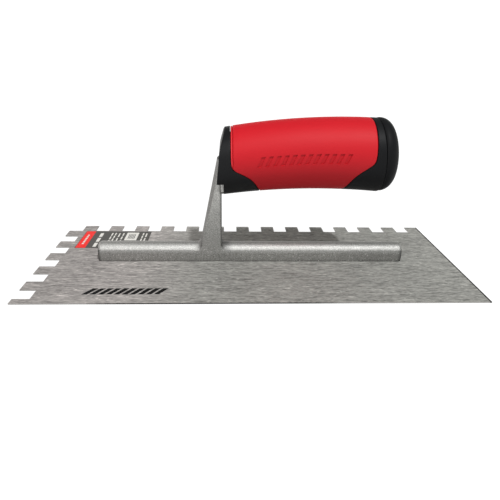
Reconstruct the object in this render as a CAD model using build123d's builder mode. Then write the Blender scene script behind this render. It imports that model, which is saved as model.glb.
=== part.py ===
from build123d import *
import math
import os

# Notched trowel: a thin steel blade with square notches along its back and left edges, riveted to one
# aluminium casting (spine bar, post, flange and tang) that carries a round two-colour handle.
# Millimetres. Origin: middle of the blade's underside. +X runs to the plain short edge,
# +Y to the notched long edge, +Z up to the handle.

# ---- Driving dimensions -----------------------------------------------------------------------------
BLADE_LENGTH = 280.0
BLADE_WIDTH = 115.0
BLADE_THICKNESS = 0.7
NOTCH = 10.0                    # side and depth of a square notch, and width of a tooth
PITCH = 2 * NOTCH

SPINE_Y = 1.5                   # the casting and the handle share this centre plane
BAR_LENGTH = 208.5
BAR_WIDTH = 13.0
BAR_SIDE_TOP = 7.6              # height where the upright sides meet the arched top
BAR_CROWN = 12.4                # top of the arch
BAR_CORNER = 2.5                # upright corners at the bar's ends
BAR_END_ROUND = 2.0             # upper edge of the bar's ends

POST_REAR = -21.0               # upright rear edge of the post
POST_FRONT = -38.0              # where the sloping front edge would meet the blade's underside
POST_LEAN = 0.202               # run of the front edge per unit of height
POST_WIDTH = 12.0
POST_TOP = 70.5
POST_FLARE = 3.2                # foot radius where the post spreads into the bar
POST_CHAMFER = 0.9

HANDLE_CREST_X = 52.0           # the handle's centre line is a shallow arch with its crest here
HANDLE_CREST_Z = 74.3
HANDLE_ARCH_RADIUS = 440.0
HANDLE_START = -26.0            # ends of the plain round body, before the pieces are cut from it
HANDLE_END = 84.0
HANDLE_STATIONS = 7
SLEEVE_WALL = 3.5

BEARING_X = -19.4               # the flange's rear face, which the core bears on
FLANGE_THICKNESS = 2.1
FLANGE_WIDTH = 22.0
FLANGE_TOP = 72.0
FLANGE_RADIUS = 20.6

TANG_Z = 72.0
TANG_WIDTH, TANG_HEIGHT = 11.0, 13.0
TANG_TIP_X = 30.0
TANG_TAPER = 1.5                # degrees

SCREW_RADIUS = 3.0
SCREW_DEPTH = 20.0              # how far the screw enters the tang
SCREW_HEAD_FLATS = 10.0
SCREW_HEAD_HEIGHT = 4.0
CORE_BORE = 3.3
SEAT_X = 50.0                   # floor of the counterbore that the washers sit on
COUNTERBORE = 9.0
CORE_END_X = 72.0
FLAT_WASHER_RADIUS, FLAT_WASHER_THICKNESS = 8.0, 1.6
SPRING_WASHER_RADIUS, SPRING_WASHER_THICKNESS = 5.5, 1.6
SPRING_WASHER_GAP = 1.2

FRONT_SEAM_X = -15.4            # upright part of the joint between front collar and sleeve
REAR_SEAM_X = 71.0              # upright part of the joint between sleeve and rear collar
SKIRT_BOTTOM = 58.4             # underside of the collar's skirt, in front of the bearing face
COLLAR_FACE = [(-23.8, SKIRT_BOTTOM), (-22.5, 75.0), (-18.9, 92.0)]   # arc of its leaning front face
FRONT_LOBE = [(FRONT_SEAM_X, 68.6), (-2.0, 61.9), (8.7, 44.0)]        # lower lobe, in the side view
FRONT_LOBE_RADII = [3.0, 12.0]
REAR_LOBE = [(REAR_SEAM_X, 73.8), (60.0, 66.0), (49.0, 46.0)]
REAR_LOBE_RADII = [5.0, 12.0]
ABOVE_HANDLE, BELOW_HANDLE = 100.0, 44.0

CAP_SEAM_X = 76.8
CAP_SEAM_Z = 73.85
CAP_TILT = 4.5                  # degrees that the end cap leans back
CAP_RADIUS = 22.8
CAP_RIM = 1.5                   # straight rim between the seam and the rounding
CAP_CROWN_RADIUS = 60.0         # the dome's shallow middle is part of a sphere
CAP_SHOULDER_RADIUS = 7.5       # rounding between the seam and the dome's middle
CAP_PLUG_WALL = 1.8
CAP_PLUG_START_X = 64.0
CAP_PLUG_ROOT = 2.0             # how far the plug reaches into the dome
CAP_HOLLOW_ROOT = 5.0           # how far the plug's hollow reaches into the dome

RIVET_COUNT = 10
RIVET_SPACING = 21.0
RIVET_RADIUS = 2.5
RIVET_HEAD_RADIUS = 4.0
RIVET_DEPTH = 5.0               # into the bar

LABEL_LENGTH, LABEL_WIDTH, LABEL_THICKNESS = 50.0, 30.5, 0.15
LABEL_X, LABEL_Y = -101.5, 31.0

CUT = 30.0                      # half the depth of the cutters that pass right across the handle

os.makedirs("parts", exist_ok=True)


# ---- The handle's outline ---------------------------------------------------------------------------
def axis_height(x):
    """Height of the handle's centre line at x: a shallow circular arch."""
    run = x - HANDLE_CREST_X
    return HANDLE_CREST_Z - HANDLE_ARCH_RADIUS + math.sqrt(HANDLE_ARCH_RADIUS**2 - run**2)


def grip_radius(x):
    """Radius of the handle at x: it thickens evenly towards the rear."""
    front_radius, front_x, growth = 20.9, -15.0, 0.0205
    return front_radius + growth * (x - front_x)


def handle_body(inset=0.0, start=HANDLE_START, end=HANDLE_END):
    """The handle's round body between two upright planes, shrunk by inset all round."""
    step = (end - start) / (HANDLE_STATIONS - 1)
    with BuildPart() as body:
        for station in range(HANDLE_STATIONS):
            x = start + station * step
            with BuildSketch(Plane.YZ.offset(x)):
                with Locations((SPINE_Y, axis_height(x))):
                    Circle(grip_radius(x) - inset)
        loft()
    return body.part


def across_handle():
    """Plane of the side view, at the far side of the handle."""
    return Plane.XZ.offset(-(SPINE_Y + CUT))


def front_zone():
    """Everything that belongs to the front collar, seen from the side: it ends in a lower lobe."""
    with BuildPart() as zone:
        with BuildSketch(across_handle()):
            with BuildLine():
                seam = FilletPolyline((FRONT_SEAM_X, ABOVE_HANDLE), *FRONT_LOBE, radius=FRONT_LOBE_RADII)
                Polyline(seam @ 1, (BEARING_X, BELOW_HANDLE), (BEARING_X, SKIRT_BOTTOM), COLLAR_FACE[0])
                ThreePointArc(*COLLAR_FACE)
                Polyline(COLLAR_FACE[-1], (COLLAR_FACE[-1][0], ABOVE_HANDLE), seam @ 0)
            make_face()
        extrude(amount=2 * CUT)
    return zone.part


def seam_point(height):
    """Point of the leaning end-cap seam at a height, in the side view."""
    return CAP_SEAM_X - (height - CAP_SEAM_Z) * math.tan(math.radians(CAP_TILT)), height


def rear_zone():
    """Everything behind the sleeve's rear edge, seen from the side, up to the end-cap seam."""
    with BuildPart() as zone:
        with BuildSketch(across_handle()):
            with BuildLine():
                seam = FilletPolyline((REAR_SEAM_X, ABOVE_HANDLE), *REAR_LOBE, radius=REAR_LOBE_RADII)
                Polyline(seam @ 1, seam_point(REAR_LOBE[-1][1]), seam_point(ABOVE_HANDLE), seam @ 0)
            make_face()
        extrude(amount=2 * CUT)
    return zone.part


def sleeve_zone():
    """A block that spans the sleeve and ends at the end-cap seam."""
    with BuildPart() as zone:
        with BuildSketch(across_handle()):
            with BuildLine():
                Polyline(
                    (BEARING_X, BELOW_HANDLE), seam_point(BELOW_HANDLE),
                    seam_point(ABOVE_HANDLE), (BEARING_X, ABOVE_HANDLE), close=True,
                )
            make_face()
        extrude(amount=2 * CUT)
    return zone.part


# ---- Blade ------------------------------------------------------------------------------------------
back_notches = [
    (-BLADE_LENGTH / 2 + NOTCH / 2 + PITCH * n, BLADE_WIDTH / 2 - NOTCH / 2)
    for n in range(int(BLADE_LENGTH / PITCH))
]
left_notches = [
    (-BLADE_LENGTH / 2 + NOTCH / 2, BLADE_WIDTH / 2 - NOTCH / 2 - PITCH * n)
    for n in range(1, 6)
]

with BuildPart() as blade:
    with BuildSketch():
        Rectangle(BLADE_LENGTH, BLADE_WIDTH)
        with Locations(*back_notches, *left_notches):
            Rectangle(NOTCH, NOTCH, mode=Mode.SUBTRACT)
    extrude(amount=BLADE_THICKNESS)
    with Locations((0, SPINE_Y, BLADE_THICKNESS / 2)):
        with GridLocations(RIVET_SPACING, 0, RIVET_COUNT, 1):
            Cone(RIVET_HEAD_RADIUS, RIVET_RADIUS, BLADE_THICKNESS, mode=Mode.SUBTRACT)
blade.part.label = "blade"
export_step(blade.part, "parts/blade.step")


# ---- Spine casting: bar, post, flange and tang in one piece of aluminium ------------------------------
def post_front(height):
    """X of the post's sloping front edge at a height."""
    return POST_FRONT + POST_LEAN * height


FOOT_Z = BAR_CROWN - 1.0        # the post's foot curves start just under the arch's top
FOOT_ROOT = FOOT_Z - 6.0        # the foot reaches down into the bar

with BuildPart() as post:
    with BuildSketch(Plane.XZ.offset(-(SPINE_Y + POST_WIDTH / 2))):
        with BuildLine():
            front_toe = (post_front(FOOT_Z) - POST_FLARE - 1, FOOT_Z)
            rear_toe = (POST_REAR + POST_FLARE + 1, FOOT_Z)
            outline = FilletPolyline(
                front_toe,
                (post_front(FOOT_Z), FOOT_Z),
                (post_front(POST_TOP), POST_TOP),
                (POST_REAR, POST_TOP),
                (POST_REAR, FOOT_Z),
                rear_toe,
                radius=[POST_FLARE, 1, 1, POST_FLARE],
            )
            Polyline(rear_toe, (rear_toe[0], FOOT_ROOT), (front_toe[0], FOOT_ROOT), front_toe)
        make_face()
    extrude(amount=POST_WIDTH)
    rim = post.faces().filter_by(Axis.Y).edges()
    chamfer(rim.filter_by_position(Axis.Z, FOOT_Z + 0.1, POST_TOP - 1.5), POST_CHAMFER)

with BuildPart() as spine_casting:
    with BuildSketch(Plane.YZ.offset(-BAR_LENGTH / 2)):
        with BuildLine():
            low_left = (SPINE_Y - BAR_WIDTH / 2, BLADE_THICKNESS)
            low_right = (SPINE_Y + BAR_WIDTH / 2, BLADE_THICKNESS)
            crease_left = (SPINE_Y - BAR_WIDTH / 2, BAR_SIDE_TOP)
            crease_right = (SPINE_Y + BAR_WIDTH / 2, BAR_SIDE_TOP)
            Polyline(crease_left, low_left, low_right, crease_right)
            ThreePointArc(crease_right, (SPINE_Y, BAR_CROWN), crease_left)
        make_face()
    extrude(amount=BAR_LENGTH)
    fillet(spine_casting.edges().filter_by(Axis.Z), BAR_CORNER)
    end_edges = spine_casting.faces().filter_by(Axis.X).edges()
    fillet(end_edges.filter_by_position(Axis.Z, BAR_SIDE_TOP, BAR_CROWN + 0.1), BAR_END_ROUND)

    add(post.part)

    with BuildSketch(Plane.YZ.offset(BEARING_X - FLANGE_THICKNESS)):
        with Locations((SPINE_Y, axis_height(BEARING_X))):
            Circle(FLANGE_RADIUS)
        with Locations((SPINE_Y, FLANGE_TOP - FLANGE_RADIUS)):
            Rectangle(FLANGE_WIDTH, 2 * FLANGE_RADIUS, mode=Mode.INTERSECT)
    extrude(amount=FLANGE_THICKNESS)

    with BuildSketch(Plane.YZ.offset(BEARING_X - FLANGE_THICKNESS)):
        with Locations((SPINE_Y, TANG_Z)):
            Rectangle(TANG_WIDTH, TANG_HEIGHT)
    extrude(amount=TANG_TIP_X - BEARING_X + FLANGE_THICKNESS, taper=TANG_TAPER)

    with BuildSketch(Plane.YZ.offset(TANG_TIP_X - SCREW_DEPTH)):
        with Locations((SPINE_Y, TANG_Z)):
            Circle(SCREW_RADIUS)
    extrude(amount=SCREW_DEPTH, mode=Mode.SUBTRACT)

    with BuildSketch(Plane.XY.offset(BLADE_THICKNESS)):
        with Locations((0, SPINE_Y)):
            with GridLocations(RIVET_SPACING, 0, RIVET_COUNT, 1):
                Circle(RIVET_RADIUS)
    extrude(amount=RIVET_DEPTH, mode=Mode.SUBTRACT)
spine_casting.part.label = "spine_casting"
export_step(spine_casting.part, "parts/spine_casting.step")


# ---- Rivets: countersunk heads flush with the blade's underside ---------------------------------------
with BuildPart() as rivets:
    with Locations((0, SPINE_Y, BLADE_THICKNESS / 2)):
        with GridLocations(RIVET_SPACING, 0, RIVET_COUNT, 1):
            Cone(RIVET_HEAD_RADIUS, RIVET_RADIUS, BLADE_THICKNESS)
    with Locations((0, SPINE_Y, BLADE_THICKNESS + RIVET_DEPTH / 2)):
        with GridLocations(RIVET_SPACING, 0, RIVET_COUNT, 1):
            Cylinder(RIVET_RADIUS, RIVET_DEPTH)
rivets.part.label = "rivets"
export_step(rivets.part, "parts/rivets.step")


# ---- Handle core: hard plastic tube round the tang ----------------------------------------------------
with BuildPart() as handle_core:
    add(handle_body(SLEEVE_WALL, BEARING_X, CORE_END_X))
    with BuildSketch(Plane.YZ.offset(BEARING_X)):
        with Locations((SPINE_Y, TANG_Z)):
            Circle(CORE_BORE)
    extrude(amount=CORE_END_X - BEARING_X, mode=Mode.SUBTRACT)
    with BuildSketch(Plane.YZ.offset(SEAT_X)):
        with Locations((SPINE_Y, TANG_Z)):
            Circle(COUNTERBORE)
    extrude(amount=CORE_END_X - SEAT_X, mode=Mode.SUBTRACT)
    add(spine_casting.part, mode=Mode.SUBTRACT)
handle_core.part.label = "handle_core"
export_step(handle_core.part, "parts/handle_core.step")


# ---- Front collar, grip sleeve and rear collar ----------------------------------------------------------
with BuildPart() as front_collar:
    add(handle_body())
    add(front_zone(), mode=Mode.INTERSECT)
    add(handle_body(SLEEVE_WALL, BEARING_X, CORE_END_X), mode=Mode.SUBTRACT)
    add(spine_casting.part, mode=Mode.SUBTRACT)
front_collar.part.label = "front_collar"
export_step(front_collar.part, "parts/front_collar.step")

with BuildPart() as grip_sleeve:
    add(handle_body())
    add(sleeve_zone(), mode=Mode.INTERSECT)
    add(front_zone(), mode=Mode.SUBTRACT)
    add(rear_zone(), mode=Mode.SUBTRACT)
    add(handle_body(SLEEVE_WALL, BEARING_X, CORE_END_X), mode=Mode.SUBTRACT)
grip_sleeve.part.label = "grip_sleeve"
export_step(grip_sleeve.part, "parts/grip_sleeve.step")

with BuildPart() as rear_collar:
    add(handle_body())
    add(rear_zone(), mode=Mode.INTERSECT)
    add(handle_body(SLEEVE_WALL, BEARING_X, CORE_END_X), mode=Mode.SUBTRACT)
    with BuildSketch(Plane.YZ.offset(CORE_END_X)):
        with Locations((SPINE_Y, TANG_Z)):
            Circle(COUNTERBORE)
    extrude(amount=CUT, mode=Mode.SUBTRACT)
rear_collar.part.label = "rear_collar"
export_step(rear_collar.part, "parts/rear_collar.step")


# ---- End cap: a shallow dome with a hollow plug that snaps into the core --------------------------------
lean = math.radians(CAP_TILT)
cap_plane = Plane(
    origin=(CAP_SEAM_X, SPINE_Y, CAP_SEAM_Z),
    x_dir=(math.cos(lean), 0, math.sin(lean)),
    z_dir=(0, -1, 0),
)
# The shoulder's circle touches the dome's sphere at this angle from the cap's axis.
shoulder_angle = math.asin((CAP_RADIUS - CAP_SHOULDER_RADIUS) / (CAP_CROWN_RADIUS - CAP_SHOULDER_RADIUS))
crown_centre = CAP_RIM - (CAP_CROWN_RADIUS - CAP_SHOULDER_RADIUS) * math.cos(shoulder_angle)
CAP_LENGTH = crown_centre + CAP_CROWN_RADIUS


def crown_point(angle):
    """Point of the dome's spherical middle, as distance behind the seam and radius."""
    return crown_centre + CAP_CROWN_RADIUS * math.cos(angle), CAP_CROWN_RADIUS * math.sin(angle)


def shoulder_point(angle):
    """Point of the rounded shoulder, as distance behind the seam and radius."""
    radius = CAP_RADIUS - CAP_SHOULDER_RADIUS + CAP_SHOULDER_RADIUS * math.sin(angle)
    return CAP_RIM + CAP_SHOULDER_RADIUS * math.cos(angle), radius


with BuildPart() as end_cap:
    with BuildSketch(cap_plane):
        with BuildLine():
            Polyline((CAP_LENGTH, 0), (0, 0), (0, CAP_RADIUS), (CAP_RIM, CAP_RADIUS))
            shoulder_middle = shoulder_point((shoulder_angle + math.pi / 2) / 2)
            ThreePointArc((CAP_RIM, CAP_RADIUS), shoulder_middle, crown_point(shoulder_angle))
            ThreePointArc(crown_point(shoulder_angle), crown_point(shoulder_angle / 2), (CAP_LENGTH, 0))
        make_face()
    revolve(axis=Axis(cap_plane.origin, cap_plane.x_dir))
    with BuildSketch(Plane.YZ.offset(CAP_PLUG_START_X)):
        with Locations((SPINE_Y, TANG_Z)):
            Circle(COUNTERBORE)
    extrude(amount=CAP_SEAM_X + CAP_PLUG_ROOT - CAP_PLUG_START_X)
    with BuildSketch(Plane.YZ.offset(CAP_PLUG_START_X)):
        with Locations((SPINE_Y, TANG_Z)):
            Circle(COUNTERBORE - CAP_PLUG_WALL)
    extrude(amount=CAP_SEAM_X + CAP_HOLLOW_ROOT - CAP_PLUG_START_X, mode=Mode.SUBTRACT)
end_cap.part.label = "end_cap"
export_step(end_cap.part, "parts/end_cap.step")


# ---- Handle screw with its two washers, hidden in the core ----------------------------------------------
HEAD_X = SEAT_X + FLAT_WASHER_THICKNESS + SPRING_WASHER_THICKNESS

with BuildPart() as handle_screw:
    with BuildSketch(Plane.YZ.offset(TANG_TIP_X - SCREW_DEPTH)):
        with Locations((SPINE_Y, TANG_Z)):
            Circle(SCREW_RADIUS)
    extrude(amount=HEAD_X - TANG_TIP_X + SCREW_DEPTH)
    with BuildSketch(Plane.YZ.offset(HEAD_X)):
        with Locations((SPINE_Y, TANG_Z)):
            RegularPolygon(SCREW_HEAD_FLATS / 2, 6, major_radius=False)
    extrude(amount=SCREW_HEAD_HEIGHT)
handle_screw.part.label = "handle_screw"
export_step(handle_screw.part, "parts/handle_screw.step")

with BuildPart() as flat_washer:
    with BuildSketch(Plane.YZ.offset(SEAT_X)):
        with Locations((SPINE_Y, TANG_Z)):
            Circle(FLAT_WASHER_RADIUS)
            Circle(CORE_BORE, mode=Mode.SUBTRACT)
    extrude(amount=FLAT_WASHER_THICKNESS)
flat_washer.part.label = "flat_washer"
export_step(flat_washer.part, "parts/flat_washer.step")

with BuildPart() as spring_washer:
    with BuildSketch(Plane.YZ.offset(SEAT_X + FLAT_WASHER_THICKNESS)):
        with Locations((SPINE_Y, TANG_Z)):
            Circle(SPRING_WASHER_RADIUS)
            Circle(CORE_BORE, mode=Mode.SUBTRACT)
        with Locations((SPINE_Y, TANG_Z + SPRING_WASHER_RADIUS)):
            Rectangle(SPRING_WASHER_GAP, 2 * SPRING_WASHER_RADIUS - CORE_BORE, mode=Mode.SUBTRACT)
    extrude(amount=SPRING_WASHER_THICKNESS)
spring_washer.part.label = "spring_washer"
export_step(spring_washer.part, "parts/spring_washer.step")


# ---- Label: a thin sticker on the blade ------------------------------------------------------------------
with BuildPart() as label:
    with BuildSketch(Plane.XY.offset(BLADE_THICKNESS)):
        with Locations((LABEL_X, LABEL_Y)):
            Rectangle(LABEL_LENGTH, LABEL_WIDTH)
    extrude(amount=LABEL_THICKNESS)
label.part.label = "label"
export_step(label.part, "parts/label.step")
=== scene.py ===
import math

import bmesh
import bpy
from mathutils import Matrix, Vector


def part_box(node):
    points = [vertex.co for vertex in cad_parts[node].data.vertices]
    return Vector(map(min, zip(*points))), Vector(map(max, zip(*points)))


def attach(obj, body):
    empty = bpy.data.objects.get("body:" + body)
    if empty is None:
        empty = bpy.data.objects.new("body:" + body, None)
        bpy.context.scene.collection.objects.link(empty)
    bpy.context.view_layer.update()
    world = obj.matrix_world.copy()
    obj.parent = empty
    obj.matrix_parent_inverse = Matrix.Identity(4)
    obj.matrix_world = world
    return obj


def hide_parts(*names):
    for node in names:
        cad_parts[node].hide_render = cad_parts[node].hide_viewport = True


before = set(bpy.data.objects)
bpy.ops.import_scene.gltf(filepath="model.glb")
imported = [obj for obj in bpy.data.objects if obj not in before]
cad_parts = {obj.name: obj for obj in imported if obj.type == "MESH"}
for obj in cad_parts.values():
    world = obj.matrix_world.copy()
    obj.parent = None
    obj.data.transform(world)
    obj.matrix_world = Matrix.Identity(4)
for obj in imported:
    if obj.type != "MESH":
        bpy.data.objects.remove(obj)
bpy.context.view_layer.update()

MM = 0.001                      # the shapes below are written in millimetres


# ---- Sizes taken from the frame, in millimetres ---------------------------------------------------------
def box_mm(node):
    """Lowest and highest corner of a CAD node, in millimetres."""
    low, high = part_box(node)
    return Vector(low) / MM, Vector(high) / MM


spine_low, spine_high = box_mm("spine_casting")
screw_low, screw_high = box_mm("handle_screw")

BLADE_TOP = box_mm("blade")[1].z
SPINE_Y = (spine_low.y + spine_high.y) / 2
TANG_Z = (screw_low.z + screw_high.z) / 2

# ---- Sizes of the shapes, the same as the CAD model's ---------------------------------------------------
BAR_HALF_LENGTH = spine_high.x
BAR_HALF_WIDTH = 6.5
BAR_SIDE_TOP = 7.6
BAR_CROWN = 12.4
BAR_END_ROUND = 2.5             # rounding of the bar's ends, seen from above

POST_REAR = -21.0
POST_FRONT = -38.0              # front of the post where it would meet the blade
POST_LEAN = 0.202               # how far the front moves to the rear for each millimetre of height
POST_HALF_WIDTH = 6.0
POST_NOSE = 1.9                 # half width of the narrow front face
POST_CORNER = 1.7               # rounding of the rear corners
POST_TOP = 70.5
POST_FLARE = 3.2                # fillet where the post runs into the bar

HANDLE_CREST_X = 52.0
HANDLE_CREST_Z = 74.3
HANDLE_ARCH_RADIUS = 440.0
GRIP_FRONT_X = -15.0
GRIP_FRONT_RADIUS = 20.9
GRIP_TAPER = 0.0205             # growth of the radius towards the rear
SLEEVE_WALL = 3.5

# A seam is an upright stretch and two leaning ones, each given as (x, height, change of x with height).
FRONT_SEAM_X = -15.7
FRONT_SHOULDER = (-0.4, 65.0, -4.35)
FRONT_LOBE = (1.2, 61.0, -0.31)
REAR_SEAM_X = 71.0
REAR_SHOULDER = (62.0, 68.5, 1.72)
REAR_LOBE = (56.9, 63.0, 0.2)

FACE_FOOT_X = -23.8             # lower edge of the front collar's face
FACE_LEAN = 0.07
FACE_CURVE = 0.0024
FACE_BULGE, BULGE_HEIGHT, BULGE_WIDTH = 0.5, 77.5, 5.5

BEARING_X = -19.4
FLANGE_THICKNESS = 2.1
FLANGE_HALF_WIDTH = 11.0
FLANGE_TOP = 72.0
FLANGE_RADIUS = 20.6
TANG_TIP_X = 30.0
TANG_HALF_WIDTH, TANG_HALF_HEIGHT = 5.0, 6.0
SKIRT_BOTTOM = 58.4
SLOT_CLEARANCE = 0.15

CAP_SEAM_X = 76.8
CAP_SEAM_Z = 73.85
CAP_TILT = math.radians(4.5)
CAP_RADIUS = 22.8
CAP_RIM = 1.5
CAP_CROWN_RADIUS = 60.0
CAP_SHOULDER_RADIUS = 7.5

# ---- Small forms that only the visual model has ---------------------------------------------------------
SEAM_GAP = 0.3                  # open joint between neighbouring mouldings
EDGE_ROUND = 0.7                # rounding of a moulding's rim
SEAM_RIM = 0.5                  # share of that rounding on the collars' rims at a seam
FACE_RIM = 0.7                  # share of it, along the handle, round the front collar's face
LIP_DROP = 0.25                 # how far the grip's front lip lies below its skin
LIP_STEP = 0.3                  # depth of the groove behind the lip
LIP_LENGTH = 1.15

MARK_START, MARK_END = 1.5, 57.0
MARK_COUNT = 12
MARK_WIDTH = 0.52               # share of the pitch that a mark takes
MARK_ANGLE = math.radians(86)   # from the top of the grip
MARK_HALF_HEIGHT = 2.9
MARK_DEPTH = 0.7
MARK_SLANT = 0.45


# ---- Mesh helpers ----------------------------------------------------------------------------------------
def spaced(start, end, count, last=True):
    """Evenly spaced numbers from start to end; without last, the end itself is left out."""
    steps = count - 1 if last else count
    return [start + (end - start) * k / steps for k in range(count)]


def smooth_step(value, low, high):
    """0 below low and 1 above high, smooth between."""
    t = min(max((value - low) / (high - low), 0.0), 1.0)
    return t * t * (3 - 2 * t)


def make_object(name, points, faces, smooth=True):
    """A mesh object from points in millimetres."""
    mesh = bpy.data.meshes.new(name)
    mesh.from_pydata([tuple(c * MM for c in p) for p in points], [], faces)
    work = bmesh.new()
    work.from_mesh(mesh)
    bmesh.ops.remove_doubles(work, verts=work.verts, dist=1e-7)
    bmesh.ops.recalc_face_normals(work, faces=work.faces)
    work.to_mesh(mesh)
    work.free()
    mesh.polygons.foreach_set("use_smooth", [smooth] * len(mesh.polygons))
    piece = bpy.data.objects.new(name, mesh)
    bpy.context.scene.collection.objects.link(piece)
    return piece


def rings_mesh(name, rings, closed=False, poles=(None, None)):
    """Quads between neighbouring rings of points. closed joins the last ring to the first, and a pole
    closes an open end with one point."""
    count = len(rings[0])
    points = [p for ring in rings for p in ring]
    faces = []
    pairs = [(i, i + 1) for i in range(len(rings) - 1)]
    if closed:
        pairs.append((len(rings) - 1, 0))
    for a, b in pairs:
        for k in range(count):
            n = (k + 1) % count
            faces.append((a * count + k, a * count + n, b * count + n, b * count + k))
    for pole, ring in zip(poles, (0, len(rings) - 1)):
        if pole is not None:
            points.append(pole)
            tip = len(points) - 1
            faces += [(ring * count + k, ring * count + (k + 1) % count, tip) for k in range(count)]
    return make_object(name, points, faces)


def apply_modifier(piece, kind, **settings):
    """Adds one modifier to a piece and applies it."""
    modifier = piece.modifiers.new(kind.title(), kind)
    for key, value in settings.items():
        setattr(modifier, key, value)
    bpy.context.view_layer.update()
    graph = bpy.context.evaluated_depsgraph_get()
    mesh = bpy.data.meshes.new_from_object(piece.evaluated_get(graph))
    piece.modifiers.clear()
    old = piece.data
    piece.data = mesh
    bpy.data.meshes.remove(old)


def cut(piece, cutter):
    """Takes cutter's space out of piece, and removes cutter."""
    apply_modifier(piece, "BOOLEAN", operation="DIFFERENCE", object=cutter, solver="EXACT")
    bpy.data.objects.remove(cutter)


def join(piece, other):
    """Joins other to piece in one skin, and removes other."""
    apply_modifier(piece, "BOOLEAN", operation="UNION", object=other, solver="EXACT")
    bpy.data.objects.remove(other)


def sharpen(piece, angle=32.0):
    """Smooth shading, except over edges that bend more than an angle in degrees."""
    piece.data.polygons.foreach_set("use_smooth", [True] * len(piece.data.polygons))
    piece.data.set_sharp_from_angle(angle=math.radians(angle))


def block(name, low, high):
    """A closed box between two corners, for cutting."""
    x, y, z = zip(low, high)
    points = [(a, b, c) for a in x for b in y for c in z]
    faces = [(0, 1, 3, 2), (4, 6, 7, 5), (0, 4, 5, 1), (2, 3, 7, 6), (0, 2, 6, 4), (1, 5, 7, 3)]
    return make_object(name, points, faces, smooth=False)


# ---- The handle's outline --------------------------------------------------------------------------------
def axis_height(x):
    """Height of the handle's centre line at x: a shallow circular arch."""
    rise = math.sqrt(HANDLE_ARCH_RADIUS**2 - (x - HANDLE_CREST_X)**2)
    return HANDLE_CREST_Z - HANDLE_ARCH_RADIUS + rise


def grip_radius(x):
    """Radius of the handle at x: it thickens evenly towards the rear."""
    return GRIP_FRONT_RADIUS + GRIP_TAPER * (x - GRIP_FRONT_X)


def handle_point(x, angle, drop=0.0):
    """Point of the handle's skin, drop below it. The angle starts at the top and grows towards -Y."""
    radius = grip_radius(x) - drop
    return x, SPINE_Y - radius * math.sin(angle), axis_height(x) + radius * math.cos(angle)


def soft_max(a, b, blend):
    """The larger of two values, with a rounded change from one to the other."""
    return (a + b + math.hypot(a - b, blend)) / 2


def soft_min(a, b, blend):
    """The smaller of two values, with the same rounded change."""
    return -soft_max(-a, -b, blend)


def leaning(stretch, height):
    """X at a height on a leaning stretch of a seam."""
    x, middle, slope = stretch
    return x + slope * (height - middle)


def front_seam(height):
    """X of the joint between front collar and sleeve: upright, then round the collar's lower lobe."""
    lower = soft_min(leaning(FRONT_SHOULDER, height), leaning(FRONT_LOBE, height), 19.4)
    return soft_max(FRONT_SEAM_X, lower, 6.1)


def rear_seam(height):
    """X of the joint between sleeve and rear collar: upright, then round that collar's lower lobe."""
    lower = soft_max(leaning(REAR_SHOULDER, height), leaning(REAR_LOBE, height), 8.4)
    return soft_min(REAR_SEAM_X, lower, 3.0)


def cap_seam(height):
    """X of the leaning joint between rear collar and end cap."""
    return CAP_SEAM_X - (height - CAP_SEAM_Z) * math.tan(CAP_TILT)


def front_face(height):
    """X of the front collar's face: it leans back and bulges at the height of the post's head."""
    rise = max(height - SKIRT_BOTTOM, 0.0)
    bulge = FACE_BULGE * math.exp(-((height - BULGE_HEIGHT) / BULGE_WIDTH)**2)
    return FACE_FOOT_X + FACE_LEAN * rise + FACE_CURVE * rise**2 - bulge


def along_handle(curve, angle):
    """X where a curve, given as x over height, crosses the handle's skin at an angle."""
    x = curve(axis_height(0))
    for _ in range(12):
        x = (x + curve(handle_point(x, angle)[2])) / 2
    return x


def handle_angles():
    """Angles round the handle: fine where the lobes and the marks are, coarser above and below."""
    coarse, fine = math.radians(3.0), math.radians(1.5)
    start, end = math.radians(66), math.radians(126)
    above = spaced(0, start, round(start / coarse), last=False)
    middle = spaced(start, end, round((end - start) / fine), last=False)
    below = spaced(end, math.pi, round((math.pi - end) / coarse), last=False)
    half = above + middle + below
    return half + [2 * math.pi - a for a in reversed(half) if a > 0]


ANGLES = handle_angles()


def from_top(angle):
    """How far an angle is from the top, on either side."""
    return min(angle, 2 * math.pi - angle)


# ---- Handle pieces ---------------------------------------------------------------------------------------
def slab_faces(first, cells):
    """Faces of a closed slab of two layers of cells x cells points, numbered from first."""
    last = cells - 1

    def at(layer, i, j):
        return first + layer * cells * cells + i * cells + j

    faces = []
    for i in range(last):
        for j in range(last):
            for layer in (0, 1):
                corners = ((i, j), (i + 1, j), (i + 1, j + 1), (i, j + 1))
                faces.append(tuple(at(layer, *corner) for corner in corners))
        for j in (0, last):
            faces.append((at(0, i, j), at(0, i + 1, j), at(1, i + 1, j), at(1, i, j)))
        for side in (0, last):
            faces.append((at(0, side, i), at(0, side, i + 1), at(1, side, i + 1), at(1, side, i)))
    return faces


def mark_cutters():
    """Shallow slanted wedges along the grip's two sides, joined in one mesh, for cutting the sunk marks."""
    pitch = (MARK_END - MARK_START) / MARK_COUNT
    cells = 5
    points, faces = [], []
    for side in (1, -1):
        for n in range(MARK_COUNT):
            faces += slab_faces(len(points), cells)
            for drop in (MARK_DEPTH, -1.0):
                for i in range(cells):
                    for j in range(cells):
                        up = MARK_HALF_HEIGHT * (2 * j / (cells - 1) - 1)
                        x = MARK_START + pitch * (n + MARK_WIDTH * i / (cells - 1)) + MARK_SLANT * up
                        angle = side * (MARK_ANGLE - up / grip_radius(x))
                        points.append(handle_point(x, angle, drop))
    return make_object("mark_cutters", points, faces, smooth=False)


def rounded_rim(steps=6):
    """Offsets (along, drop) of a quarter-round rim, from its outer face inwards."""
    return [
        (EDGE_ROUND * (1 - math.cos(a)), EDGE_ROUND * (1 - math.sin(a)))
        for a in spaced(0, math.pi / 2, steps)
    ]


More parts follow.
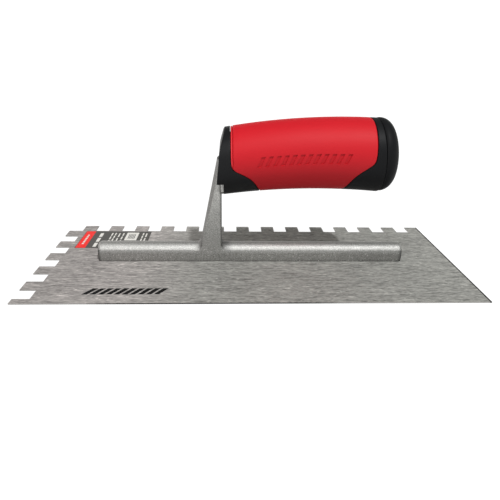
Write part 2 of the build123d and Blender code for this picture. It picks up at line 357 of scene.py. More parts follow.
def build_grip_sleeve():
    """The red grip: an arched tube with rounded rims, a stepped front lip and a sunk row of bars."""
    rows = 70
    starts = [along_handle(front_seam, from_top(a)) + SEAM_GAP / 2 for a in ANGLES]
    ends = [along_handle(rear_seam, from_top(a)) - SEAM_GAP / 2 for a in ANGLES]
    # the lip runs over the upper half and fades out at the sides
    lip_share = [1 - smooth_step(from_top(a), math.radians(84), math.radians(92)) for a in ANGLES]
    skin_starts = [x + LIP_LENGTH * share for x, share in zip(starts, lip_share)]
    rim = rounded_rim()
    rings = []

    def ring(place_of, drop_of):
        rings.append([handle_point(place_of(k), angle, drop_of(k)) for k, angle in enumerate(ANGLES)])

    ring(lambda k: starts[k], lambda k: SLEEVE_WALL)
    ring(lambda k: starts[k], lambda k: LIP_DROP * lip_share[k] + EDGE_ROUND)
    for along, deep in ((0.1, LIP_DROP), (0.8, LIP_DROP), (1.0, LIP_DROP + LIP_STEP)):
        ring(lambda k: starts[k] + along * lip_share[k],
             lambda k: deep * lip_share[k] + EDGE_ROUND * (1 - lip_share[k]))
    for along, drop in rim:
        ring(lambda k: skin_starts[k] + along, lambda k: drop)
    for t in spaced(0, 1, rows)[1:-1]:
        def place(k):
            low = skin_starts[k] + EDGE_ROUND
            return low + t * (ends[k] - EDGE_ROUND - low)
        ring(place, lambda k: 0.0)
    for along, drop in reversed(rim):
        ring(lambda k: ends[k] - along, lambda k: drop)
    ring(lambda k: ends[k], lambda k: SLEEVE_WALL)
    sleeve = rings_mesh("grip_sleeve_skin", rings, closed=True)
    cut(sleeve, mark_cutters())
    sharpen(sleeve)
    return sleeve


def build_front_collar():
    """The black front collar with its face, lobe, skirt and the slot for the post."""
    rows = 16
    starts = [along_handle(front_face, from_top(a)) for a in ANGLES]
    ends = [along_handle(front_seam, from_top(a)) - SEAM_GAP / 2 for a in ANGLES]
    rim = rounded_rim()
    pole_z = axis_height(-22)
    middle = axis_height(front_face(pole_z))
    rings = []
    for share in spaced(0.1, 1, 10):
        ring = []
        for x, angle in zip(starts, ANGLES):
            edge = handle_point(x, angle, EDGE_ROUND)
            y = SPINE_Y + share * (edge[1] - SPINE_Y)
            z = middle + share * (edge[2] - middle)
            ring.append((front_face(z), y, z))
        rings.append(ring)
    for along, drop in rim[1:]:
        rings.append([handle_point(x + FACE_RIM * along, a, drop) for x, a in zip(starts, ANGLES)])
    for t in spaced(0, 1, rows)[1:-1]:
        rings.append([
            handle_point(start + EDGE_ROUND + t * (end - start - 2 * EDGE_ROUND), a)
            for start, end, a in zip(starts, ends, ANGLES)
        ])
    for along, drop in reversed(rim):
        rings.append([
            handle_point(x - SEAM_RIM * along, a, SEAM_RIM * drop) for x, a in zip(ends, ANGLES)
        ])
    rings.append([handle_point(x, a, SLEEVE_WALL) for x, a in zip(ends, ANGLES)])
    rings.append([handle_point(BEARING_X + 2, a, SLEEVE_WALL) for a in ANGLES])
    front_pole = (front_face(pole_z), SPINE_Y, pole_z)
    rear_pole = (BEARING_X + 2, SPINE_Y, axis_height(BEARING_X))
    collar = rings_mesh("front_collar_skin", rings, poles=(front_pole, rear_pole))
    cut(collar, block("skirt_cutter", (-40, SPINE_Y - 30, 30), (BEARING_X, SPINE_Y + 30, SKIRT_BOTTOM)))
    cut(collar, build_post("slot_cutter", SLOT_CLEARANCE))
    sharpen(collar)
    return collar


def build_rear_collar():
    """The black rear collar, between the sleeve's rear edge and the end cap's seam."""
    rows = 14
    starts = [along_handle(rear_seam, from_top(a)) + SEAM_GAP / 2 for a in ANGLES]
    ends = [along_handle(cap_seam, from_top(a)) - SEAM_GAP / 2 for a in ANGLES]
    rim = [(SEAM_RIM * along, SEAM_RIM * drop) for along, drop in rounded_rim()]
    rim_length = rim[-1][0]
    rings = [[handle_point(x, a, SLEEVE_WALL) for x, a in zip(starts, ANGLES)]]
    for along, drop in rim:
        rings.append([handle_point(x + along, a, drop) for x, a in zip(starts, ANGLES)])
    for t in spaced(0, 1, rows)[1:-1]:
        rings.append([
            handle_point(start + rim_length + t * (end - start - 2 * rim_length), a)
            for start, end, a in zip(starts, ends, ANGLES)
        ])
    for along, drop in reversed(rim):
        rings.append([handle_point(x - along, a, drop) for x, a in zip(ends, ANGLES)])
    rings.append([handle_point(x, a, SLEEVE_WALL) for x, a in zip(ends, ANGLES)])
    return rings_mesh("rear_collar_skin", rings, closed=True)


def cap_profile():
    """Points (behind the seam, radius) of the end cap: rim, rounded shoulder and shallow crown."""
    crown, shoulder = CAP_CROWN_RADIUS, CAP_SHOULDER_RADIUS
    meeting = math.asin((CAP_RADIUS - shoulder) / (crown - shoulder))
    crown_centre = CAP_RIM - (crown - shoulder) * math.cos(meeting)
    face = SEAM_GAP / 2
    points = [(face, CAP_RADIUS - 4), (face, CAP_RADIUS - 0.45), (face + 0.12, CAP_RADIUS - 0.15)]
    for angle in spaced(math.pi / 2 - 0.04, meeting, 18):
        points.append((
            CAP_RIM + shoulder * math.cos(angle),
            CAP_RADIUS - shoulder * (1 - math.sin(angle)),
        ))
    for angle in spaced(meeting, 0, 12)[1:-1]:
        points.append((crown_centre + crown * math.cos(angle), crown * math.sin(angle)))
    points.append((crown_centre + crown, 0))
    return points


def build_end_cap():
    """The black end cap: its profile turned round the leaning axis."""
    steps = 160
    along = Vector((math.cos(CAP_TILT), 0, math.sin(CAP_TILT)))
    up = Vector((-math.sin(CAP_TILT), 0, math.cos(CAP_TILT)))
    seam_middle = Vector((CAP_SEAM_X, SPINE_Y, CAP_SEAM_Z))
    rings = []
    *profile, apex = cap_profile()
    for behind, radius in profile:
        rings.append([
            tuple(seam_middle + along * behind + radius * (up * math.cos(a) + Vector((0, -math.sin(a), 0))))
            for a in spaced(0, 2 * math.pi, steps, last=False)
        ])
    poles = (tuple(seam_middle + along * SEAM_GAP / 2), tuple(seam_middle + along * apex[0]))
    return rings_mesh("end_cap_skin", rings, poles=poles)


# ---- Spine casting ---------------------------------------------------------------------------------------
def crown_height(y):
    """Height of the bar's arched top at a distance from its middle."""
    rise = BAR_CROWN - BAR_SIDE_TOP
    arch_radius = (BAR_HALF_WIDTH**2 + rise**2) / (2 * rise)
    return BAR_CROWN - arch_radius + math.sqrt(arch_radius**2 - min(abs(y), BAR_HALF_WIDTH)**2)


def bar_outline():
    """Half outline of the bar across its length, from the crown's middle down to the blade."""
    crown_edge, side_start, side_middle = 5.8, 6.5, 3.0
    points = [(y, crown_height(y)) for y in spaced(0, crown_edge, 7)]
    start = (crown_edge, crown_height(crown_edge))
    corner = (BAR_HALF_WIDTH, BAR_SIDE_TOP)
    end = (BAR_HALF_WIDTH, side_start)
    for t in spaced(0, 1, 8)[1:]:
        near, between, far = (1 - t)**2, 2 * t * (1 - t), t * t
        points.append(tuple(near * a + between * b + far * c for a, b, c in zip(start, corner, end)))
    points += [(BAR_HALF_WIDTH, side_middle), (BAR_HALF_WIDTH, BLADE_TOP)]
    return points


def build_bar():
    """The bar: an arched section drawn along X, with rounded ends."""
    ends = [
        (BAR_HALF_LENGTH - BAR_END_ROUND * (1 - math.sin(a)), BAR_END_ROUND * (1 - math.cos(a)))
        for a in spaced(0, math.pi / 2, 9)
    ]
    stations = [(-x, s) for x, s in reversed(ends)] + [(x, 0.0) for x in (-40, -5, 50)] + ends
    half = bar_outline()
    rings = []
    for x, shrink in stations:
        ring = []
        for y, z in half:
            lowered = z - 0.85 * shrink * smooth_step(z, BLADE_TOP, BAR_SIDE_TOP)
            ring.append((y * (1 - shrink / BAR_HALF_WIDTH), lowered))
        other = [(-y, z) for y, z in reversed(ring[1:])]
        rings.append([(x, SPINE_Y + y, z) for y, z in ring + other])
    end_middle = 5.0
    poles = ((stations[0][0], SPINE_Y, end_middle), (stations[-1][0], SPINE_Y, end_middle))
    return rings_mesh("spine_casting_skin", rings, poles=poles)


def post_outline(height, spread, half, grow):
    """Half outline of the post from nose to rear: a slanted facet, a broad side, a rounded corner."""
    front = POST_FRONT + POST_LEAN * height - spread - grow
    rear = POST_REAR + spread + grow
    facet = min(0.9 + 1.3 * smooth_step(height, 18.0, 52.0), 0.45 * (rear - front))
    ease = min(POST_CORNER, 0.3 * (rear - front))
    half += grow
    points = [
        (front, POST_NOSE),
        (front + 0.15, POST_NOSE + 0.4),
        (front + facet - 0.3, half - 0.45),
        (front + facet + 0.25, half),
    ]
    for angle in spaced(0, math.pi / 2, 6):
        points.append((rear - ease * (1 - math.sin(angle)), half - ease * (1 - math.cos(angle))))
    return points


def build_post(name, grow=0.0):
    """The post, lofted from inside the bar to its head. Its foot spreads along the bar's arched top."""
    levels = [-2.0] + [POST_FLARE * (1 - math.cos(a)) for a in spaced(0, math.pi / 2, 9)]
    levels += spaced(POST_FLARE, POST_TOP + grow - BAR_CROWN, 20)[1:]
    rings = []
    for level in levels:
        spread = 0.0
        if level < POST_FLARE:
            spread = POST_FLARE - math.sqrt(POST_FLARE**2 - (POST_FLARE - max(level, 0.0))**2)
        half = POST_HALF_WIDTH + 0.42 * (1 - smooth_step(level, 0.0, 9.0))
        flat = smooth_step(level, 3.0, 14.0)
        ring = []
        for x, y in post_outline(BAR_CROWN + level, spread, half, grow):
            ring.append((x, y, level + flat * BAR_CROWN + (1 - flat) * crown_height(y)))
        other = [(x, -y, z) for x, y, z in reversed(ring)]
        rings.append([(x, SPINE_Y + y, z) for x, y, z in ring + other])
    poles = [
        (sum(x for x, y, z in ring) / len(ring), SPINE_Y, ring[0][2]) for ring in (rings[0], rings[-1])
    ]
    return rings_mesh(name, rings, poles=poles)


def build_flange():
    """The flange that the handle's core bears on: a disc cut to a narrow upright plate."""
    middle = axis_height(BEARING_X)
    rings = []
    for x, inset in ((-FLANGE_THICKNESS, 0.35), (0.35 - FLANGE_THICKNESS, 0), (-0.2, 0), (0, 0.2)):
        ring = []
        for angle in spaced(0, 2 * math.pi, 72, last=False):
            half, radius = FLANGE_HALF_WIDTH - inset, FLANGE_RADIUS - inset
            y = max(-half, min(half, radius * math.sin(angle)))
            z = min(FLANGE_TOP - inset, middle + radius * math.cos(angle))
            ring.append((BEARING_X + x, SPINE_Y + y, z))
        rings.append(ring)
    poles = ((BEARING_X - FLANGE_THICKNESS, SPINE_Y, middle - 5), (BEARING_X, SPINE_Y, middle - 5))
    return rings_mesh("flange_part", rings, poles=poles)


def build_spine_casting():
    """Bar, post, flange and tang joined into one skin."""
    casting = build_bar()
    join(casting, build_post("post_part"))
    join(casting, build_flange())
    join(casting, block(
        "tang_part",
        (BEARING_X - 1.2, SPINE_Y - TANG_HALF_WIDTH, TANG_Z - TANG_HALF_HEIGHT),
        (TANG_TIP_X, SPINE_Y + TANG_HALF_WIDTH, TANG_Z + TANG_HALF_HEIGHT),
    ))
    sharpen(casting)
    return casting


# ---- Printed pieces --------------------------------------------------------------------------------------
PRINT_THICKNESS = 0.02


def flat_patch(outline, height, thickness, points, faces):
    """Adds one thin printed shape, given by its outline in x and y, to a list of points and faces."""
    first = len(points)
    count = len(outline)
    points += [(x, y, height) for x, y in outline] + [(x, y, height + thickness) for x, y in outline]
    faces.append(tuple(first + k for k in reversed(range(count))))
    faces.append(tuple(first + count + k for k in range(count)))
    for k in range(count):
        n = (k + 1) % count
        faces.append((first + k, first + n, first + count + n, first + count + k))


def print_piece(name, outlines, height):
    """One piece from several thin printed shapes at the same height."""
    points, faces = [], []
    for outline in outlines:
        flat_patch(outline, height, PRINT_THICKNESS, points, faces)
    return make_object(name, points, faces, smooth=False)


def rectangle(x0, y0, x1, y1, slant=0.0):
    """A rectangle, or with slant a parallelogram whose top is moved along X."""
    shift = slant * (y1 - y0)
    return [(x0, y0), (x1, y0), (x1 + shift, y1), (x0 + shift, y1)]


# ---- Materials: lengths in metres, tones as factors around 1 ---------------------------------------------
class Shader:
    """Writes a node material in a few lines. Any value may be a number or another node's output."""

    def __init__(self, name):
        self.material = bpy.data.materials.new(name)
        self.material.use_nodes = True
        self.tree = self.material.node_tree
        self.bsdf = self.tree.nodes["Principled BSDF"]
        coordinates = self.node("ShaderNodeTexCoord").outputs
        self.place, self.normal = coordinates["Object"], coordinates["Normal"]
        self.edges = self.node("ShaderNodeNewGeometry").outputs["Pointiness"]

    def node(self, kind, inputs=None, **settings):
        """A new node with its inputs fed and its settings made."""
        node = self.tree.nodes.new(kind)
        for key, value in settings.items():
            setattr(node, key, value)
        for key, value in (inputs or {}).items():
            self.feed(node.inputs[key], value)
        return node

    def feed(self, socket, value):
        """Links an output to a socket, or sets a plain value on it."""
        if isinstance(value, bpy.types.NodeSocket):
            self.tree.links.new(value, socket)
        else:
            socket.default_value = value

    def set(self, **values):
        """Feeds the surface shader's own inputs, with _ for a blank in their names."""
        for key, value in values.items():
            self.feed(self.bsdf.inputs[key.replace("_", " ")], value)

    def math(self, operation, a, b=0.0):
        return self.node("ShaderNodeMath", {0: a, 1: b}, operation=operation).outputs[0]

    def added(self, first, *others):
        """All the values added together."""
        for value in others:
            first = self.math("ADD", first, value)
        return first

    def times(self, first, *others):
        """All the values multiplied together."""
        for value in others:
            first = self.math("MULTIPLY", first, value)
        return first

    def size(self, value):
        """A value without its sign."""
        return self.math("ABSOLUTE", value)

    def noise(self, frequency, detail=2.0, roughness=0.5):
        """Noise whose features are 1/frequency metres long, along X, Y and Z."""
        stretched = self.node(
            "ShaderNodeVectorMath", {0: self.place, 1: frequency}, operation="MULTIPLY"
        ).outputs[0]
        texture = self.node(
            "ShaderNodeTexNoise",
            {"Vector": stretched, "Scale": 1.0, "Detail": detail, "Roughness": roughness},
        )
        return texture.outputs[0]

    def scratches(self, rows, along):
        """Straight scratches along X: rows of them per metre across Y, each about 1/along metres long."""
        x, y, _ = self.axes()
        row = self.math("FLOOR", self.times(y, rows))
        row_spacing = 12.9898                   # far enough apart for neighbouring rows to differ
        spot = self.node(
            "ShaderNodeCombineXYZ", {0: self.times(x, along), 1: self.times(row, row_spacing), 2: 0.5}
        ).outputs[0]
        return self.node("ShaderNodeTexNoise", {"Vector": spot, "Scale": 1.0, "Detail": 1.0}).outputs[0]

    def spread(self, value, low, high):
        """A 0 to 1 value stretched to run from low to high."""
        node = self.node(
            "ShaderNodeMapRange",
            {"Value": value, "From Min": 0.0, "From Max": 1.0, "To Min": low, "To Max": high},
        )
        return node.outputs[0]

    def step(self, value, low, high):
        """0 below low and 1 above high, smooth between."""
        node = self.node(
            "ShaderNodeMapRange", {"Value": value, "From Min": low, "From Max": high},
            interpolation_type="SMOOTHSTEP",
        )
        return node.outputs[0]

    def fade(self, value, low, high, start, end):
        """A number that goes smoothly from start, while value is at low, to end, once it is at high."""
        return self.spread(self.step(value, low, high), start, end)

    def blend(self, factor, low, high):
        """A number that goes from low to high as the factor goes from 0 to 1."""
        node = self.node("ShaderNodeMix", {0: factor, 2: low, 3: high}, data_type="FLOAT")
        return node.outputs[0]

    def mix(self, factor, a, b):
        """A colour that goes from a to b as the factor goes from 0 to 1."""
        node = self.node("ShaderNodeMix", data_type="RGBA")
        for socket, value in zip((node.inputs[0], node.inputs[6], node.inputs[7]), (factor, a, b)):
            self.feed(socket, value)
        return node.outputs[2]

    def shade(self, colour, value):
        """A colour made lighter or darker by a value around 1."""
        if isinstance(colour, tuple):
            colour = colour[:3]
        node = self.node("ShaderNodeVectorMath", {0: colour, 3: value}, operation="SCALE")
        return node.outputs[0]

    def bump(self, height, distance, strength, normal=None):
        """A surface roughened by a height, on top of another bump if one is given."""
        inputs = {"Height": height, "Distance": distance, "Strength": strength}
        if normal is not None:
            inputs["Normal"] = normal
        return self.node("ShaderNodeBump", inputs).outputs[0]

    def axes(self, source=None):
        """X, Y and Z of a vector, by default of the place on the object."""
        return self.node("ShaderNodeSeparateXYZ", {0: source or self.place}).outputs


def steel_material():
    """Ground blade steel: fine scratches along X with painted glints, a warmer and lighter left end in
    painted light, and sheared edges darkened with painted shade.
    """
    s = Shader("ground_steel")
    fine = s.scratches(2000.0, 400.0)
    short = s.scratches(1400.0, 240.0)
    long = s.scratches(1000.0, 90.0)
    cloud = s.noise((25.0, 60.0, 25.0), 3.0)
    # painted glints: sparse short bright lines added to the colour as highlights
    painted_glint = s.step(s.scratches(1600.0, 260.0), 0.66, 0.76)
    x = s.axes()[0]
    grain = s.added(
        s.spread(short, -0.52, 0.52),
        s.spread(long, -0.40, 0.40),
        s.spread(fine, -0.45, 0.45),
        s.spread(cloud, 0.94, 1.06),
        s.spread(painted_glint, 0.0, 0.45),
    )
    # painted light: the left end is coloured warmer and lighter, and the far left end is darkened with
    # painted shade
    left = s.step(x, -0.02, -0.09)
    colour = s.mix(left, (0.43, 0.43, 0.408, 1), (0.56, 0.534, 0.518, 1))
    colour = s.shade(colour, s.times(grain, s.fade(x, -0.080, -0.115, 1.0, 0.85)))

    # painted shade on the sheared edge faces: nearly black along the middle, grey elsewhere, and a dark
    # painted line at the plain right end
    upright = s.step(s.size(s.axes(s.normal)[2]), 0.7, 0.3)
    middle = s.times(s.step(x, -0.105, -0.08), s.step(x, 0.06, 0.03))
    painted_shade_right_edge = s.step(x, 0.1387, 0.1391)
    edge = s.mix(middle, (0.40, 0.39, 0.38, 1), (0.02, 0.02, 0.02, 1))
    edge = s.mix(painted_shade_right_edge, edge, (0.04, 0.04, 0.037, 1))
    s.set(
        Base_Color=s.mix(s.math("MAXIMUM", upright, painted_shade_right_edge), colour, edge),
        Metallic=1.0,
        Roughness=s.spread(long, 0.70, 0.86),
        Normal=s.bump(fine, 0.000004, 0.3),
    )
    return s.material


def casting_painted_light(s):
    """Painted light and shade for the casting's colour: by the way its surface faces, along the bar and up
    the post.
    """
    nx, ny, nz = s.axes(s.normal)
    along, _, height = s.axes()
    facing_up = s.step(s.size(nz), 0.25, 0.6)
    facing_side = s.step(s.size(ny), 0.55, 0.97)

    # the bar's top: a painted highlight towards the left, painted shade towards the right and round the
    # post's foot
    post_middle = -0.0262
    from_post = s.size(s.added(along, -post_middle))
    top = s.times(
        s.fade(along, -0.03, -0.09, 1.0, 1.16),
        s.fade(along, -0.04, 0.045, 1.0, 0.83),
        s.fade(from_post, 0.0070, 0.0135, 0.50, 1.0),
    )
    # broad sides, with painted shade: darker low down and darkest in the joint with the blade, a painted
    # contact shadow
    side = s.times(
        s.fade(height, 0.013, 0.050, 0.68, 1.03),
        s.fade(height, 0.0008, 0.0040, 0.86, 1.0),
        s.fade(height, 0.0008, 0.0018, 0.66, 1.0),
    )
    # corners, with painted shade: dark on the bar, lighter on the post and lightest at its front
    corner = s.blend(s.step(height, 0.011, 0.015), 0.20, s.fade(nx, -0.3, 0.3, 0.60, 0.40))
    # painted shade on the upright faces: darker towards the bar's right, and dark strips at both of its
    # ends
    upright = s.times(
        s.blend(facing_side, corner, side),
        s.fade(along, 0.03, 0.09, 1.0, 0.89),
        s.fade(along, 0.1000, 0.1035, 1.0, 0.52),
        s.fade(along, -0.1010, -0.1035, 1.0, 0.72),
    )
    return s.blend(facing_up, upright, top)


def casting_material():
    """Sand-cast aluminium: a fine grain with scattered bright specks, with painted shade that makes it
    darker where it turns a corner.
    """
    s = Shader("cast_aluminium")
    grain = s.noise((1700.0, 1700.0, 1700.0), 2.0, 0.6)
    sand = s.noise((800.0, 800.0, 800.0), 3.0, 0.6)
    cloud = s.noise((60.0, 60.0, 60.0), 2.0)
    speck = s.step(s.noise((1300.0, 1300.0, 1300.0), 0.0), 0.76, 0.80)
    # painted light and shade, which scale the colour and how strongly the bright specks show
    tone_with_painted_shade = casting_painted_light(s)
    mottle = s.added(s.spread(grain, -0.85, 0.85), s.spread(cloud, 0.92, 1.08))
    colour = s.shade((0.42, 0.42, 0.405, 1), s.times(mottle, tone_with_painted_shade))
    s.set(
        Base_Color=s.mix(s.times(speck, tone_with_painted_shade), colour, (0.62, 0.62, 0.60, 1)),
        Metallic=1.0,
        Roughness=s.spread(sand, 0.50, 0.66),
        Normal=s.bump(sand, 0.00012, 0.5, s.bump(grain, 0.00006, 0.5)),
    )
    return s.material


def grip_material():
    """Soft-touch red rubber: a satin skin with a very fine grain, rubbed smoother on its raised edges."""
    s = Shader("red_soft_touch")
    grain = s.noise((1800.0, 1800.0, 1800.0), 2.0)
    cloud = s.noise((45.0, 45.0, 45.0), 3.0)
    mottle = s.added(s.spread(grain, -0.03, 0.03), s.spread(cloud, 0.96, 1.04))
    # painted shade: the red is darker on faces that turn downwards, times a random mottle
    tone_with_painted_shade = s.times(mottle, s.fade(s.axes(s.normal)[2], -0.85, 0.88, 0.51, 0.89))
    worn = s.step(s.edges, 0.53, 0.60)
    s.set(
        Base_Color=s.mix(worn, s.shade((0.56, 0.008, 0.016, 1), tone_with_painted_shade), (0.58, 0.03, 0.035, 1)),
        Roughness=s.math("SUBTRACT", s.spread(cloud, 0.50, 0.62), s.spread(worn, 0.0, 0.06)),
        Specular_IOR_Level=0.18,
        Normal=s.bump(grain, 0.00003, 0.35),
    )
    return s.material


def black_material(name, roughness, gloss):
    """Satin black moulding with a fine spark-eroded texture, rubbed shinier on its raised edges."""
    s = Shader(name)
    grain = s.noise((2200.0, 2200.0, 2200.0), 2.0)
    cloud = s.noise((60.0, 60.0, 60.0), 2.0)
    worn = s.step(s.edges, 0.53, 0.60)
    # painted shade: the black is darker on faces that turn downwards, times a random cloudy tone
    tone_with_painted_shade = s.times(s.spread(cloud, 0.85, 1.15), s.fade(s.axes(s.normal)[2], -0.6, 0.6, 0.62, 1.02))
    colour = s.shade((0.0072, 0.0077, 0.0086, 1), tone_with_painted_shade)
    satin = s.spread(cloud, roughness - 0.04, roughness + 0.06)
    s.set(
        Base_Color=s.mix(worn, colour, (0.014, 0.0145, 0.0155, 1)),
        Roughness=s.math("SUBTRACT", satin, s.spread(worn, 0.0, 0.08)),
        Specular_IOR_Level=gloss,
        Normal=s.bump(grain, 0.00003, 0.3),
    )
    return s.material


def plain_material(name, colour, roughness, metallic=0.0):
    """A lightly mottled finish for prints and for pieces that hardly show."""
    s = Shader(name)
    grain = s.noise((700.0, 700.0, 700.0), 3.0)
    s.set(
        Base_Color=s.shade((*colour, 1), s.spread(grain, 0.88, 1.12)),
        Specular_IOR_Level=0.2,
        Metallic=metallic,
        Roughness=s.spread(grain, roughness - 0.06, roughness + 0.06),
        Normal=s.bump(grain, 0.00003, 0.3),
    )
    return s.material


def dress(piece, material):
    """Gives a piece one material in all its slots."""
    piece.data.materials.clear()
    piece.data.materials.append(material)


def dress_node(name, material):
    """Gives a carried-over CAD node one material, without touching its mesh."""
    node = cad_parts[name]
    if not node.material_slots:
        node.data.materials.append(material)
    for slot in node.material_slots:
        slot.material = material


def finish_piece(piece, material, slot, *replaced):
    """Gives a new piece its material and its body, and hides the CAD nodes it replaces. slot is not used.
    """
    dress(piece, material)
    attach(piece, "root")
    if replaced:
        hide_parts(*replaced)


# ---- Prints ----------------------------------------------------------------------------------------------
# start and width of each column of short bars, from the label's left edge
LABEL_COLUMNS = ((12.0, 2.4), (20.5, 1.0), (23.0, 1.0), (26.0, 1.0), (29.0, 1.0), (44.0, 1.0), (46.5, 1.0))


def label_columns(low, high):
    """Outlines of the columns of short bars, each with three to five bars one behind the other."""
    outlines = []
    for column, (x, width) in enumerate(LABEL_COLUMNS):
        bars = 3 + column % 3
        length = (high.y - low.y - 4) / bars
        for n in range(bars):
            start = low.y + 2 + n * length
            outlines.append(rectangle(low.x + x, start, low.x + x + width, start + length * 0.78))
    return outlines


def build_label_print():
    """Generic blocks on the label: a red panel with dashes, columns of bars, a pale panel with stripes."""
    low, high = box_mm("label")
    x, y, top = low.x, low.y, high.z
    red = [rectangle(x + 0.4, y + 0.2, x + 7.4, high.y - 0.2)]
    panel = [rectangle(x + 32.0, y + 13.5, x + 41.0, high.y - 2.5)]
    stripes = [
        rectangle(x + 34.0 + 1.1 * n, y + 16.5, x + 34.6 + 1.1 * n, high.y - 5.5) for n in range(5)
    ]
    dashes = [rectangle(x + 3.1, y + 6.5 + 3.0 * n, x + 4.5, y + 8.6 + 3.0 * n) for n in range(6)]
    return (
        print_piece("label_red_panel", red, top),
        print_piece("label_bars", label_columns(low, high) + panel, top),
        print_piece("label_window", stripes, top + PRINT_THICKNESS),
        print_piece("label_dashes", dashes, top + PRINT_THICKNESS),
    )


def build_blade_print():
    """A generic printed mark on the blade: a row of slanted bars."""
    x0, y0, height = -102.5, -47.9, 7.0
    width, pitch, count, slant = 3.2, 4.65, 10, 0.7
    outlines = [
        rectangle(x0 + pitch * n, y0, x0 + pitch * n + width, y0 + height, slant) for n in range(count)
    ]
    return print_piece("blade_print", outlines, BLADE_TOP)


# ---- Build the object ------------------------------------------------------------------------------------
def build_visible_pieces():
    """The pieces that replace their CAD nodes."""
    black_front = black_material("black_front", 0.46, 0.135)
    black_rear = black_material("black_rear", 0.48, 0.095)
    black_cap = black_material("black_cap", 0.50, 0.07)
    finish_piece(build_spine_casting(), casting_material(), "cast_aluminium", "spine_casting")
    finish_piece(build_grip_sleeve(), grip_material(), "red_rubber", "grip_sleeve")
    finish_piece(build_front_collar(), black_front, "black_plastic", "front_collar")
    finish_piece(build_rear_collar(), black_rear, "black_plastic", "rear_collar")
    finish_piece(build_end_cap(), black_cap, "black_plastic", "end_cap")


def dress_cad_nodes():
    """Materials for the CAD nodes that stay: the blade and what is inside the handle and the bar."""
    dress_node("blade", steel_material())
    dress_node("rivets", plain_material("rivet_steel", (0.42, 0.42, 0.41), 0.45, 1.0))
    dress_node("handle_core", plain_material("core_plastic", (0.05, 0.05, 0.05), 0.5))
    for hardware in ("handle_screw", "flat_washer", "spring_washer"):
        dress_node(hardware, plain_material(hardware + "_zinc", (0.6, 0.6, 0.63), 0.35, 1.0))
    dress_node("label", plain_material("label_field", (0.075, 0.073, 0.068), 0.5))


def build_prints():
    """The print on the label and on the blade."""
    red_panel, pale_bars, stripes, dashes = build_label_print()
    label_white = plain_material("label_white", (0.66, 0.65, 0.61), 0.5)
    finish_piece(red_panel, plain_material("label_red", (0.78, 0.018, 0.014), 0.45), "label_paper")
    finish_piece(pale_bars, label_white, "label_paper")
    finish_piece(dashes, label_white, "label_paper")
    finish_piece(stripes, plain_material("label_grey", (0.12, 0.12, 0.12), 0.45), "label_paper")
    print_black = plain_material("print_black", (0.003, 0.003, 0.003), 0.7)
    finish_piece(build_blade_print(), print_black, "blade_steel")


# ---- Floor, light and camera -----------------------------------------------------------------------------
def build_floor():
    """A large white disc just below the blade."""
    radius, steps, below = 9000.0, 96, 0.4
    points = [
        (radius * math.cos(a), radius * math.sin(a), -below)
        for a in spaced(0, 2 * math.pi, steps, last=False)
    ]
    floor = make_object("floor", points, [tuple(range(steps))], smooth=False)
    s = Shader("floor_white")
    s.set(
        Base_Color=(0.12, 0.12, 0.12, 1), Roughness=0.9, Specular_IOR_Level=0.1,
        Emission_Color=(1, 1, 1, 1), Emission_Strength=0.95,
    )
    dress(floor, s.material)


def add_sun(name, toward, strength, width):
    """A sun seen in a direction; width is how wide it looks, in degrees."""
    sun = bpy.data.lights.new(name, "SUN")
    sun.energy = strength
    sun.angle = math.radians(width)
    lamp = bpy.data.objects.new(name, sun)
    lamp.rotation_euler = Vector(toward).to_track_quat("Z", "Y").to_euler()
    bpy.context.scene.collection.objects.link(lamp)


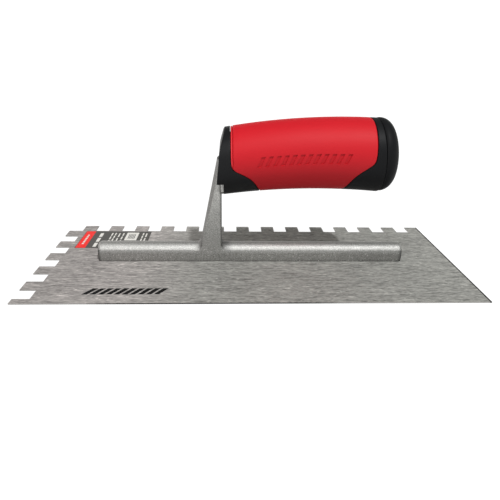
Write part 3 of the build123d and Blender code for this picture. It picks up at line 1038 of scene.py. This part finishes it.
def build_world():
    """Soft light from all round: bright near the horizon, dim above, warmer from the left. The backdrop
    itself is plain white."""
    world = bpy.data.worlds.new("studio")
    bpy.context.scene.world = world
    world.use_nodes = True
    nodes, link = world.node_tree.nodes, world.node_tree.links.new
    background = nodes["Background"]
    background.inputs["Strength"].default_value = 1.12
    direction = nodes.new("ShaderNodeSeparateXYZ")
    link(nodes.new("ShaderNodeTexCoord").outputs["Generated"], direction.inputs[0])

    brightness = nodes.new("ShaderNodeValToRGB")
    link(direction.outputs["Z"], brightness.inputs[0])
    stops = ((0.0, 1.0), (0.27, 1.0), (0.40, 0.17), (1.0, 0.18))
    elements = brightness.color_ramp.elements
    while len(elements) < len(stops):
        elements.new(0.5)
    for element, (height, level) in zip(elements, stops):
        element.position = height
        element.color = (level, level, level, 1)

    side = nodes.new("ShaderNodeMapRange")
    for name, value in (("From Min", -0.5), ("From Max", 0.5), ("To Min", 0.0), ("To Max", 1.0)):
        side.inputs[name].default_value = value
    link(direction.outputs["X"], side.inputs["Value"])
    tint = nodes.new("ShaderNodeMix")
    tint.data_type = "RGBA"
    tint.inputs[6].default_value = (1.18, 1.12, 1.10, 1)
    tint.inputs[7].default_value = (0.92, 0.94, 0.90, 1)
    link(side.outputs[0], tint.inputs[0])

    light = nodes.new("ShaderNodeVectorMath")
    light.operation = "MULTIPLY"
    link(brightness.outputs[0], light.inputs[0])
    link(tint.outputs[2], light.inputs[1])
    backdrop = nodes.new("ShaderNodeMix")
    backdrop.data_type = "RGBA"
    backdrop.inputs[7].default_value = (1, 1, 1, 1)
    link(nodes.new("ShaderNodeLightPath").outputs["Is Camera Ray"], backdrop.inputs[0])
    link(light.outputs[0], backdrop.inputs[6])
    link(backdrop.outputs[2], background.inputs["Color"])


def build_camera():
    """A camera in front of the trowel, a little to the left and looking down on it."""
    place = [c * MM for c in (-17.076, -267.731, 134.407)]
    yaw, pitch, roll = 0.0579, 0.4435, 0.0275
    forward = Vector((math.sin(yaw) * math.cos(pitch), math.cos(yaw) * math.cos(pitch), -math.sin(pitch)))
    level = Vector((math.cos(yaw), -math.sin(yaw), 0))
    upward = level.cross(forward)
    right = math.cos(roll) * level + math.sin(roll) * upward
    up = -math.sin(roll) * level + math.cos(roll) * upward
    lens = bpy.data.cameras.new("camera")
    lens.sensor_width = 36.0
    lens.lens = 30.935
    lens.clip_start, lens.clip_end = 0.01, 50.0
    camera = bpy.data.objects.new("camera", lens)
    rows = [(right[n], up[n], -forward[n], place[n]) for n in range(3)]
    camera.matrix_world = Matrix((*rows, (0, 0, 0, 1)))
    bpy.context.scene.collection.objects.link(camera)
    bpy.context.scene.camera = camera


build_visible_pieces()
dress_cad_nodes()
build_prints()
build_floor()
add_sun("key", (0.31, -0.42, 1.0), 2.40, 3.0)
add_sun("fill", (-0.42, -0.75, 1.0), 0.95, 45.0)
build_world()
build_camera()
bpy.context.scene.view_settings.view_transform = "Standard"
